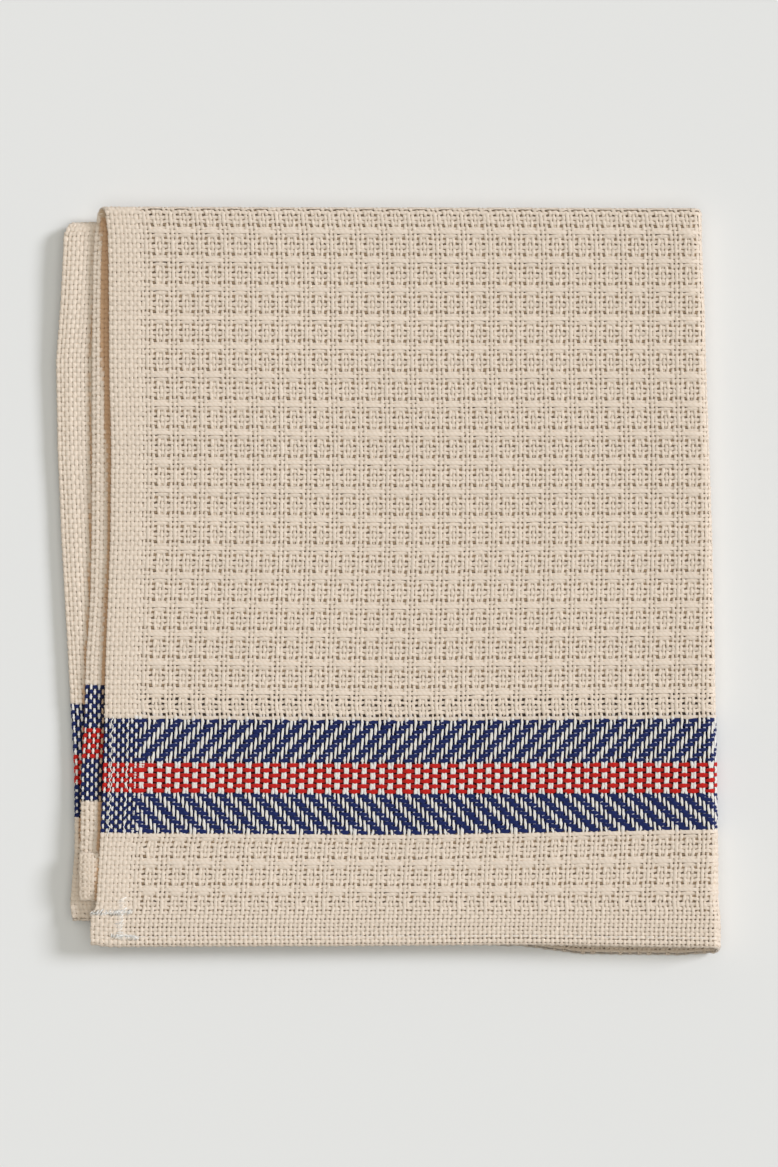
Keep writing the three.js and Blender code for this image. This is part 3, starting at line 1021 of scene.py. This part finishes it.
def spin(name, yarns, is_warp, width, material, sides=SIDES, flatness=FLATNESS):
    """Runs the yarn tree over paths and keeps the result as one plain piece."""
    source = add_object(name + "_paths", path_mesh(name, yarns, is_warp))
    modifier = source.modifiers.new("yarn", "NODES")
    modifier.node_group = YARN_TREE
    settings = {"Width": width * MM, "Flatness": flatness, "Sides": sides, "Turn": math.pi / sides,
                "Reach": 1 / math.cos(math.pi / sides), "Yarn": material}
    for label, value in settings.items():
        modifier[YARN_INPUTS[label]] = value
    bpy.context.view_layer.update()
    evaluated = source.evaluated_get(bpy.context.evaluated_depsgraph_get())
    mesh = bpy.data.meshes.new_from_object(evaluated)
    mesh.name = name
    lay_map(mesh)
    soften(mesh)
    for label in ("centre", "lift", "aside", "flat_at", "flat_aside", "girth"):
        mesh.attributes.remove(mesh.attributes[label])
    source.modifiers.clear()
    bpy.data.objects.remove(source)
    piece = add_object(name, mesh)
    pieces.append(piece)
    triangles = sum(len(face.vertices) - 2 for face in mesh.polygons)
    print(f"{name}: {len(yarns)} yarns, {triangles} triangles")
    return piece


# %% [markdown]
# ### How a yarn goes over and under
#
# A yarn needs few rings. Where it floats on the side that shows it has a ring near each end of the float and
# one on the crown of a long float, and where it dives under others one or two rings carry it through. On the
# side that lies on the table one ring for each crossing is enough.

# %% Rings along a yarn
RISE = 0.11
LONG_SPAN = 1.5
LONGEST_SPAN = 3
FLOAT_BOW = 0.015
FLOAT_REACH = 0.2
HIDDEN_REACH = 0.2
CROWN_GIRTH = 1.1
LONG_FLOAT_GIRTH = 1.22
HIDDEN_GIRTH = 0.68
# How much painted shade a yarn takes where it dives under others.
HIDDEN_PAINTED_SHADE = 0.7
# On the side that lies on the table every ring takes half the painted shade.
PLAIN_PAINTED_SHADE = 0.5
# Each of these is a rise, a girth and a painted shade.
LONG_HIDDEN = (0.08, 0.9, 0.35)
LONGEST_HIDDEN_ENDS = (0.0, 0.7, 0.9)
LONGEST_HIDDEN_MIDDLE = (0.16, 1.0, 0.0)
SPINDLE_BOWS = (-0.06, 0.04, -0.06)
# Each of these is a reach, and the girth at the ends and in the middle.
NO_SPINDLE = (0.0, 0.0, 0.0)
BORDER_SPINDLE = (0.24, 0.66, 1.0)
WARP_SPINDLES = {NAVY_UP: (0.32, 0.62, 0.9), NAVY_DOWN: (0.32, 0.62, 0.9), RED: (0.34, 0.9, 0.94)}
DYED_SPINDLE = (0.15, 0.94, 1.06)


def hidden_rings(first, last, side, spread):
    """Where a yarn passes on the side that doesn't show, it is pressed thin and takes a painted shade."""
    middle = (first + last) / 2
    stations = [first - spread, last + spread] if spread else [middle]
    kinds = [(0.0, HIDDEN_GIRTH, HIDDEN_PAINTED_SHADE)] * len(stations)
    if last - first > LONGEST_SPAN:
        stations = [first, middle, last]
        kinds = [LONGEST_HIDDEN_ENDS, LONGEST_HIDDEN_MIDDLE, LONGEST_HIDDEN_ENDS]
    elif last - first > LONG_SPAN:
        stations = [first, last]
        kinds = [LONG_HIDDEN, LONG_HIDDEN]
    return [(at, side, -rise, girth, middle, shade) for at, (rise, girth, shade) in zip(stations, kinds)]


def spindle_rings(first, last, side, style):
    """A float that swells in its middle."""
    reach, end_girth, middle_girth = style
    middle = (first + last) / 2
    stations = (first - reach, middle, last + reach)
    girths = (end_girth, middle_girth, end_girth)
    return [(at, side, bow, girth, middle, 0.0) for at, bow, girth in zip(stations, SPINDLE_BOWS, girths)]


def float_rings(first, last, side):
    """A float of even thickness, bowed a little where it is long."""
    middle = (first + last) / 2
    is_long = last - first > LONG_SPAN
    reach = FLOAT_REACH / 2 if is_long else FLOAT_REACH
    girth = LONG_FLOAT_GIRTH if is_long else CROWN_GIRTH
    found = [(first - reach, side, 0.0, girth, middle, 0.0), (last + reach, side, 0.0, girth, middle, 0.0)]
    if is_long:
        found.insert(1, (middle, side, FLOAT_BOW, girth, middle, 0.0))
    return found


def rings(at, up, seen, styles, spread=0):
    """Places along a yarn, with their side, bow, girth, the middle of their float and their painted shade."""
    found = []
    start = 0
    while start < len(at):
        stop = start
        while stop + 1 < len(at) and up[stop + 1] == up[start]:
            stop += 1
        side = 1 if up[start] else -1
        if side != seen[start]:
            found += hidden_rings(at[start], at[stop], side, spread)
        elif styles[start][0] > 0:
            found += spindle_rings(at[start], at[stop], side, styles[start])
        else:
            found += float_rings(at[start], at[stop], side)
        start = stop + 1
    return np.array(found).T


def plain_rings(at, up):
    """One ring for each crossing, where nobody looks closely."""
    side = np.where(up, 1.0, -1.0)
    none = 0 * side
    return np.stack([at, side, none, 1 + none, at, PLAIN_PAINTED_SHADE + none])


END_TONE_SPREAD = 0.02
PICK_TONE_SPREAD = 0.025
random_numbers = np.random.default_rng(7)
END_TONES = random_numbers.normal(1.0, END_TONE_SPREAD, ENDS)
PICK_TONES = random_numbers.normal(1.0, PICK_TONE_SPREAD, len(ALL_PICKS))
END_PHASES = random_numbers.uniform(0, 2 * math.pi, (ENDS, 2))
PICK_PHASES = random_numbers.uniform(0, 2 * math.pi, (len(ALL_PICKS), 2))
WANDER = 0.022
WANDER_LENGTHS = (11, 3.7)
QUICK_SHARE = 0.6
UNEVEN_GIRTH = 0.1
UNEVEN_PLACE = 0.028
BORDER_GIRTH = 1.26
BORDER_BAND_GIRTH = 0.92
BORDER_WEFT_GIRTH = 1.22
BORDER_FLATTER = 0.3
FLECK_SHADE = 0.63
FLECK_RISE = 0.19
FLECK_GIRTH = 0.72
BAND_MARGIN = 0.3


def uneven(values, amount):
    """A spun yarn's unevenness, a different draw for every ring."""
    return values + amount * random_numbers.normal(0, 1, len(values)).clip(-2, 2)


def wander(at, phases):
    """How far a thread drifts from its place, slowly and quickly, in threads."""
    slow, quick = (np.sin(at / length + phase) for length, phase in zip(WANDER_LENGTHS, phases))
    return WANDER * (slow + QUICK_SHARE * quick)


def is_banded(pick):
    """One where a place is in a coloured band and none elsewhere."""
    inside = np.zeros_like(pick)
    for start, stop in ((LOWER_NAVY_START, WAFFLE_START), (BACK_NAVY_START, BACK_WAFFLE_START)):
        inside = np.maximum(inside, (pick > start - BAND_MARGIN) & (pick < stop + BAND_MARGIN))
    return inside


def warp_styles(end, zones):
    """The style of this end's floats at each crossing: spindles in the band, none elsewhere."""
    spindles = {zone: BORDER_SPINDLE for zone in WARP_SPINDLES} if IS_BORDER[end] else WARP_SPINDLES
    return [spindles.get(zone, NO_SPINDLE) for zone in zones]


def slants(end, zones):
    """How much this end leans in the twill at each crossing."""
    if IS_BORDER[end]:
        return np.zeros(len(zones))
    leaning = {NAVY_UP: TWILL_SLANT, NAVY_DOWN: -TWILL_SLANT}
    return np.array([leaning.get(zone, 0.0) for zone in zones])


def warp_yarn(end, first_pick, last_pick, fine=True):
    """The path of one warp end between two picks, both included."""
    columns = slice(first_pick - FIRST_PICK, last_pick - FIRST_PICK + 1)
    picks = ALL_PICKS[columns]
    zones = ZONES[columns]
    at = picks + 0.5 + PICK_SHIFT[end, columns]
    up = WARP_UP[end, columns]
    seen = np.where((end < STRIP_ENDS) & (picks > TOP_FOLD_END), -1, 1)
    found = rings(at, up, seen, warp_styles(end, zones)) if fine else plain_rings(at, up)
    place_on, side, bow, girth, middle, hidden_painted_shade = found
    banded = is_banded(place_on)
    lean = np.interp(place_on, at, slants(end, zones))
    lateral = end + 0.5 + np.interp(place_on, at, END_SHIFT[end, columns]) + lean * (place_on - middle)
    lateral = uneven(lateral + wander(place_on, END_PHASES[end]), UNEVEN_PLACE)
    depth = side * (RISE + bow) + np.interp(place_on, at, RELIEF[end, columns])
    if IS_BORDER[end]:
        girth = girth * mix(BORDER_GIRTH, BORDER_BAND_GIRTH, banded)
        depth = depth * mix(1 - BORDER_FLATTER, 1.0, banded)
    else:
        in_twill = np.interp(place_on, at, (zones == NAVY_UP) | (zones == NAVY_DOWN))
        fleck = in_twill * (hidden_painted_shade > FLECK_SHADE)
        depth = depth + FLECK_RISE * fleck
        girth = mix(girth, FLECK_GIRTH, fleck)
    return {"end": lateral, "pick": place_on, "depth": depth, "girth": uneven(girth, UNEVEN_GIRTH),
            "tone": np.full(len(lateral), END_TONES[end]), "in_band": banded, "hidden_painted_shade": hidden_painted_shade}


# How far in from the selvedge a ring lies, how far towards the next pick, and its girth.
SELVEDGE_TURN = np.array([(0.14, 0.95, 0.5), (0.16, 0.55, 0.5), (0.26, 0.15, 0.7)])


def selvedge_turn(pick, at_left):
    """The last rings of a pick at a selvedge, where it turns towards the pick that it joins."""
    inwards, towards, girth = SELVEDGE_TURN.T if at_left else SELVEDGE_TURN[::-1].T
    joins_next = (pick % 2 == 0) == at_left
    return {"end": inwards if at_left else ENDS - inwards,
            "pick": pick + 0.5 + (0.5 if joins_next else -0.5) * towards,
            "depth": 0 * inwards, "girth": girth, "hidden_painted_shade": 0 * inwards}


def weft_yarn(pick, first_end, last_end, fine=True, on_strip=False):
    """The path of one weft pick between two ends, both included. At a selvedge it turns to its neighbour."""
    column = pick - FIRST_PICK
    ends = ALL_ENDS[first_end:last_end + 1]
    zone = ZONES[column]
    is_dyed = DYES[zone] != "ecru"
    at = ends + 0.5 + END_SHIFT[ends, column]
    up = ~WARP_UP[ends, column]
    seen = np.where(on_strip & (ends < 2 * STRIP_ENDS), -1, 1)
    styles = [DYED_SPINDLE if is_dyed else NO_SPINDLE] * len(ends)
    found = rings(at, up, seen, styles, HIDDEN_REACH if is_dyed else 0) if fine else plain_rings(at, up)
    place_on, side, bow, girth, middle, hidden_painted_shade = found
    in_border = np.interp(place_on, at, IS_BORDER[ends])
    if not is_dyed:
        girth = girth * mix(1.0, BORDER_WEFT_GIRTH, in_border)
    girth = uneven(girth, UNEVEN_GIRTH)
    lean = {NAVY_UP: WEFT_SLANT, NAVY_DOWN: -WEFT_SLANT}.get(zone, 0.0) * (1 - in_border)
    lateral = pick + 0.5 + np.interp(place_on, at, PICK_SHIFT[ends, column])
    lateral = lateral + wander(place_on, PICK_PHASES[column]) + lean * (place_on - middle)
    depth = side * (RISE + bow) + np.interp(place_on, at, RELIEF[ends, column])
    if not is_dyed:
        depth = depth * (1 - BORDER_FLATTER * in_border)
    path = {"end": place_on, "pick": uneven(lateral, UNEVEN_PLACE), "depth": depth, "girth": girth,
            "hidden_painted_shade": hidden_painted_shade}
    if first_end == 0:
        left = selvedge_turn(pick, True)
        path = {key: np.append(left[key], values) for key, values in path.items()}
    if last_end == ENDS - 1:
        right = selvedge_turn(pick, False)
        path = {key: np.append(values, right[key]) for key, values in path.items()}
    none = 0 * path["end"]
    return {**path, "tone": PICK_TONES[column] + none, "in_band": none}


# %% [markdown]
# ## Warp
#
# The warp ends run from hem to hem. On the two rims of the cloth the whole length shows, so those ends go
# all the way round. The others stop just inside the top fold, where the face begins to cover them.

# %% Warp ends
WARP_WIDTH = 0.76
UNDER_WIDER = 1.1
FIRST_TURNED_PICK = -2
FIRST_UNDER_END = 142
PAST_TOP_FOLD = 160
SPLIT_END = 72
LAST_TURNED_PICK = PICKS + 1


def warp_ends(first_end, stop_end, first_pick, last_pick, fine=True):
    return [warp_yarn(end, first_pick, last_pick, fine) for end in range(first_end, stop_end)]


left_border = warp_ends(0, STRIP_ENDS, FIRST_TURNED_PICK, ALL_PICKS[-1])
left_middle = warp_ends(STRIP_ENDS, SPLIT_END, FIRST_TURNED_PICK, PAST_TOP_FOLD)
right_middle = warp_ends(SPLIT_END, FIRST_UNDER_END, FIRST_TURNED_PICK, PAST_TOP_FOLD)
under_middle = warp_ends(FIRST_UNDER_END, ENDS - STRIP_ENDS, FIRST_PICK, PAST_TOP_FOLD, False)
right_border = warp_ends(ENDS - STRIP_ENDS, ENDS, FIRST_PICK, LAST_TURNED_PICK)
spin("warp_face_left", left_border + left_middle, True, WARP_WIDTH, ecru_yarn)
spin("warp_face_right", right_middle, True, WARP_WIDTH, ecru_yarn)
spin("warp_under", under_middle, True, WARP_WIDTH * UNDER_WIDER, ecru_yarn, UNDER_SIDES)
spin("warp_under_border", right_border, True, WARP_WIDTH, ecru_yarn)

# %% [markdown]
# ## Weft
#
# The weft picks run from selvedge to selvedge. Ecru picks make the waffle and the hems, and dyed picks make
# the band. On the back half only the two rims show, so there the picks are short.

# %% Weft picks
WEFT_WIDTH = 0.82
NAVY_WIDTH = 1.06
RED_WIDTH = 1.12
LAST_STRIP_END = ENDS - STRIP_ENDS - 1


def dyed_picks(dye, first_pick, last_pick):
    return [pick for pick in ALL_PICKS if first_pick <= pick <= last_pick and DYES[zone_of(pick)] == dye]


def left_rim(picks):
    """Short stretches of picks along the upper selvedge."""
    return [weft_yarn(pick, 0, STRIP_ENDS, on_strip=True) for pick in picks]


def right_rim(picks):
    """Short stretches of picks along the lower selvedge."""
    return [weft_yarn(pick, LAST_STRIP_END, ENDS - 1) for pick in picks if pick <= LAST_TURNED_PICK]


ecru_front = dyed_picks("ecru", FIRST_TURNED_PICK, PAST_TOP_FOLD)
ecru_back = dyed_picks("ecru", PAST_TOP_FOLD + 1, ALL_PICKS[-1])
turned_picks = dyed_picks("ecru", FIRST_PICK, FIRST_TURNED_PICK - 1)
for name, picks in (("weft_face", [pick for pick in ecru_front if pick >= WAFFLE_START]),
                    ("weft_hem", [pick for pick in ecru_front if pick < LOWER_NAVY_START])):
    spin(name, [weft_yarn(pick, 0, FIRST_UNDER_END) for pick in picks], False, WEFT_WIDTH, ecru_yarn)
on_roll = [pick for pick in ecru_front if pick >= TOP_FOLD_START]
under_picks = []
for pick in turned_picks + ecru_front:
    last_end = LAST_STRIP_END if pick in on_roll else ENDS - 1
    under_picks.append(weft_yarn(pick, FIRST_UNDER_END, last_end, False))
spin("weft_under", under_picks, False, WEFT_WIDTH * UNDER_WIDER, ecru_yarn, UNDER_SIDES)
roll_yarns = right_rim(on_roll)
rim_yarns = left_rim(ecru_back) + right_rim(ecru_back)
spin("weft_rims", rim_yarns + roll_yarns, False, WEFT_WIDTH, ecru_yarn)
for dye, width, material in (("navy", NAVY_WIDTH, navy_yarn), ("red", RED_WIDTH, red_yarn)):
    front_picks = dyed_picks(dye, FIRST_TURNED_PICK, PAST_TOP_FOLD)
    across_front = [weft_yarn(pick, 0, ENDS - 1) for pick in front_picks]
    back_picks = dyed_picks(dye, PAST_TOP_FOLD + 1, ALL_PICKS[-1])
    rim_yarns = left_rim(back_picks) + right_rim(back_picks)
    spin("weft_" + dye, across_front + rim_yarns, False, width, material, DYED_SIDES)

# %% [markdown]
# ## Sewing thread
#
# The hem is closed by a fine machine seam that sinks between the threads. At the corner the machine went back
# and forth, so white thread lies there in little zigzags. Two fine white threads also lie loose over the band
# in the plain border. They are yarn like the rest, only finer and on top, so the same tree makes them.

# %% Seam, tacks and loose threads
SEAM_WIDTH = 0.27
SEAM_PICK = 1.75
SEAM_STARTS = 10.5
SEAM_PAST_MIDDLE = 6
SEAM_WAVER = 0.05
STITCH_ENDS = 2.3
STITCH_SHAPE = ((0.0, -0.35), (0.16, 0.0), (0.62, 0.0), (0.78, -0.35))
STITCH_SUNK = (0.02, 0.22)
ON_TOP = 0.42
TACK_WIDTH = 0.26
ON_TACK = 0.4
TACK_PILE = 0.12
TACK_SWINGS = (0.3, 1.2)
TACKS = [
    {"from": (-0.3, 7.4), "to": (8.6, 7.6), "turns": 84, "spread": (0.25, 0.7)},
    {"from": (0.4, 7.1), "to": (9.2, 7.7), "turns": 40, "spread": (0.4, 0.5)},
    {"from": (6.4, 10.6), "to": (6.6, 1.8), "turns": 48, "spread": (0.95, 0.25)},
    {"from": (6.9, 8.2), "to": (7.0, 1.6), "turns": 20, "spread": (0.6, 0.35)},
    {"from": (4.6, 1.9), "to": (10.8, 1.5), "turns": 56, "spread": (0.25, 0.6)},
    {"from": (6.0, 2.2), "to": (10.2, 1.9), "turns": 30, "spread": (0.2, 0.3)},
]
LOOSE_WIDTH = 0.17
LOOSE_THREADS = [{"end": 1.9, "phase": 0.3}, {"end": 5.6, "phase": 2.1}]
LOOSE_STEPS = 120
LOOSE_FIRST_PICK = LOWER_NAVY_START - 0.6
LOOSE_LAST_PICK = WAFFLE_START + 0.4
LOOSE_WAVER = 0.06
LOOSE_HEIGHT = ON_TOP - 0.06
LOOSE_LIFT = 0.13
LOOSE_LIFT_RATE = 2.1
# The size of each wave, how quick it is, and its share of the phase.
LOOSE_WAVES = ((0.17, 2.7, 1), (0.1, 5.3, 2))
THREAD_UNEVEN = 0.15
thread_numbers = np.random.default_rng(11)


def thread_path(end, pick, depth):
    same = np.ones(len(end))
    none = 0 * same
    return {"end": end, "pick": pick, "depth": depth, "girth": uneven(same, THREAD_UNEVEN), "tone": same,
            "in_band": none, "hidden_painted_shade": none}


def seam():
    """A row of machine stitches; each one dips into the cloth at both its ends."""
    starts = np.arange(SEAM_STARTS, ENDS / 2 + SEAM_PAST_MIDDLE, STITCH_ENDS)
    shares, dips = np.array(STITCH_SHAPE).T
    end = (starts[:, None] + STITCH_ENDS * shares[None, :]).ravel()
    sunk = np.repeat(thread_numbers.uniform(*STITCH_SUNK, len(starts)), len(shares))
    depth = ON_TOP - sunk + np.tile(dips, len(starts))
    return thread_path(end, SEAM_PICK + thread_numbers.normal(0, SEAM_WAVER, len(end)), depth)


def tack(start, stop, turns, spread):
    """Thread laid back and forth across the way from start to stop."""
    share = np.linspace(0, 1, turns)
    side = np.where(np.arange(turns) % 2 == 0, 1.0, -1.0) * thread_numbers.uniform(*TACK_SWINGS, turns)
    end = mix(start[0], stop[0], share) + side * spread[0]
    pick = mix(start[1], stop[1], share) + side * spread[1]
    return thread_path(end, pick, ON_TACK + thread_numbers.uniform(-TACK_PILE, TACK_PILE, turns))


def loose_thread(end, phase):
    """A thin thread that lies on the band and wavers."""
    pick = np.linspace(LOOSE_FIRST_PICK, LOOSE_LAST_PICK, LOOSE_STEPS)
    sway = sum(size * np.sin(pick * rate + times * phase) for size, rate, times in LOOSE_WAVES)
    sway = sway + thread_numbers.normal(0, LOOSE_WAVER, LOOSE_STEPS)
    return thread_path(end + sway, pick, LOOSE_HEIGHT + LOOSE_LIFT * np.sin(pick * LOOSE_LIFT_RATE + phase))


# Each of these is a colour on the crown, a painted shade for the grooves and a painted shade for deep down.
THREAD_WHITE = ((0.97, 0.95, 0.91), (0.95, 0.92, 0.89), (0.95, 0.92, 0.89))
SEAM_ECRU = ((0.84, 0.77, 0.69), (0.76, 0.69, 0.61), (0.76, 0.69, 0.61))
white_thread = yarn_material("white_thread", *THREAD_WHITE)
seam_thread = yarn_material("seam_thread", *SEAM_ECRU)
tacks = [tack(row["from"], row["to"], row["turns"], row["spread"]) for row in TACKS]
spin("hem_seam", [seam()], False, SEAM_WIDTH, seam_thread, flatness=0.8)
spin("corner_tack", tacks, False, TACK_WIDTH, white_thread, flatness=0.7)
loose = [loose_thread(row["end"], row["phase"]) for row in LOOSE_THREADS]
spin("loose_threads", loose, True, LOOSE_WIDTH, white_thread, flatness=0.9)

# %% [markdown]
# ## Floor and light
#
# The cloth lies on a plain pale surface under soft light. A broad sun from the upper right gives the soft
# shadow at the left, and an overhead one and an even sky fill it.

# %% Floor and light
FLOOR_SIZE = 3000.0
KEY_TURN = math.radians(20)
KEY_HEIGHT = math.radians(31)
KEY_ANGLE = math.radians(18)
KEY_STRENGTH = 2.2
KEY_COLOUR = (0.985, 1.0, 1.06)
TOP_HEIGHT = math.radians(88)
TOP_ANGLE = math.radians(70)
TOP_STRENGTH = 1.157
SKY_STRENGTH = 0.24
FILL_COLOUR = (1.0, 0.985, 0.92)
FLOOR_COLOUR = (0.80, 0.805, 0.80)
FLOOR_LEVEL = -0.1


def make_floor():
    half = FLOOR_SIZE / 2 * MM
    corners = [(x * half, y * half, FLOOR_LEVEL * MM) for x, y in ((-1, -1), (1, -1), (1, 1), (-1, 1))]
    mesh = bpy.data.meshes.new("floor")
    mesh.from_pydata(corners, [], [(0, 1, 2, 3)])
    material, tree, shader = new_shader("floor_paper")
    set_inputs(tree, shader, {"Base Color": FLOOR_COLOUR, "Roughness": 0.9, "Specular IOR Level": 0.1})
    mesh.materials.append(material)
    add_object("floor", mesh)


def add_sun(name, turn, height, angle, strength, colour):
    sun = bpy.data.lights.new(name, "SUN")
    sun.energy = strength
    sun.color = colour
    sun.angle = angle
    holder = add_object(name, sun)
    level = math.cos(height)
    towards = Vector((math.cos(turn) * level, math.sin(turn) * level, math.sin(height)))
    holder.rotation_euler = towards.to_track_quat("Z", "Y").to_euler()


def make_sky():
    world = bpy.data.worlds.new("sky")
    world.use_nodes = True
    background = world.node_tree.nodes["Background"]
    set_inputs(world.node_tree, background, {"Color": FILL_COLOUR, "Strength": SKY_STRENGTH})
    bpy.context.scene.world = world


make_floor()
add_sun("key", KEY_TURN, KEY_HEIGHT, KEY_ANGLE, KEY_STRENGTH, KEY_COLOUR)
add_sun("overhead", KEY_TURN, TOP_HEIGHT, TOP_ANGLE, TOP_STRENGTH, FILL_COLOUR)
make_sky()
bpy.context.scene.view_settings.view_transform = "Standard"

# %% [markdown]
# ## Everything rides on the model
#
# The ground sheet stands for the imported cloth. The yarns are pieces on that sheet, and all ride on its body.

# %% Ride and replace
for piece in [ground, *pieces]:
    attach(piece, "root")
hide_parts("cloth")
